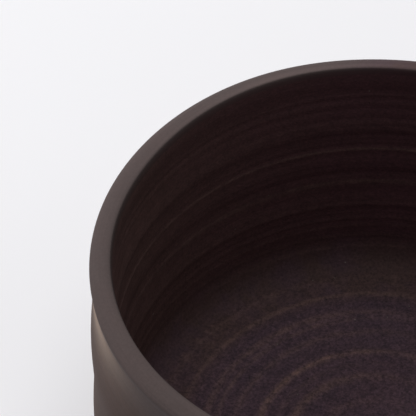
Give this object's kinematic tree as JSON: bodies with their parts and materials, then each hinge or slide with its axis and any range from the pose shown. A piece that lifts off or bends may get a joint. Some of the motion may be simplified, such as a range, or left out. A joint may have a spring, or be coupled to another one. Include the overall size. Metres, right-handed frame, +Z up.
{
  "type": "empty candle jar",
  "caption": "Open hand-thrown stoneware jar with a rounded lip, throwing rings and a trimmed foot, empty and ready to take a poured candle.",
  "frame": {"origin": "centre of the jar's base, on the plane that its foot stands on", "axes": "+Z up along the jar's axis of turning, out of the mouth; X and Y are any two level directions, as the jar is round"},
  "size_m": [0.1028, 0.1028, 0.058],
  "materials": {
    "stoneware": "matte iron-black glaze"
  },
  "bodies": {
    "root": {"jar": "stoneware"}
  },
  "joints": []
}
